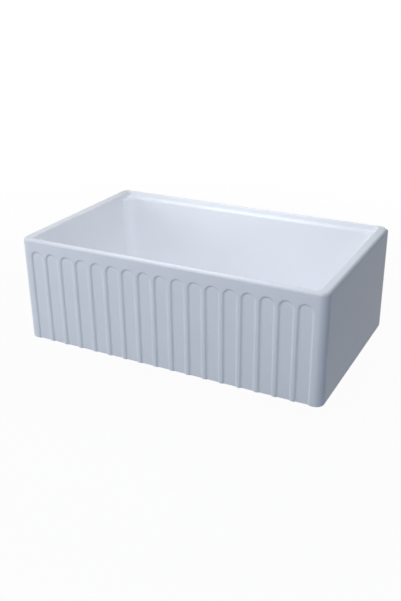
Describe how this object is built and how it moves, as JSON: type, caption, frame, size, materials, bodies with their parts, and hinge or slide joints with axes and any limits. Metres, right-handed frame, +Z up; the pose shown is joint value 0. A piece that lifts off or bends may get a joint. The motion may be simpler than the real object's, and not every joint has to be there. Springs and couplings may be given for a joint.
{
  "type": "farmhouse apron front sink",
  "caption": "White fireclay kitchen sink with an arched, fluted apron front, inner ledges along front and back, and a lift-out basket strainer in its floor.",
  "frame": {"origin": "centre of the basin's flat underside, on the drain's axis", "axes": "+Z up, the fluted apron faces -Y, +X to the right of a person standing at the sink"},
  "size_m": [0.762, 0.458, 0.3828],
  "materials": {
    "glazed_fireclay": "white gloss glaze over fireclay, unglazed underneath",
    "polished_stainless": "polished stainless steel",
    "stamped_stainless": "plain stamped stainless steel",
    "black_rubber": "moulded black rubber",
    "fibre_board": "pressed grey-brown fibre",
    "cast_zinc": "matt cast zinc",
    "white_nylon": "moulded nylon",
    "chromed_brass": "chrome plated brass",
    "turned_brass": "turned brass"
  },
  "bodies": {
    "sink": {"sink_body": "glazed_fireclay", "strainer_body": "polished_stainless", "spider": "stamped_stainless", "flange_gasket": "black_rubber", "under_washer": "black_rubber", "friction_ring": "fibre_board", "lock_nut": "cast_zinc", "tailpiece_washer": "white_nylon", "tailpiece": "chromed_brass", "coupling_nut": "chromed_brass"},
    "basket": {"basket_cup": "polished_stainless", "stopper_seal": "black_rubber", "seal_washer": "stamped_stainless", "seal_nut": "turned_brass", "basket_post": "stamped_stainless", "grip_ring": "black_rubber", "knob": "polished_stainless"}
  },
  "joints": [
    {"name": "basket_lift", "type": "slide", "parent": "sink", "child": "basket", "axis": [0, 0, 1], "range_m": [0, 0.3]}
  ]
}
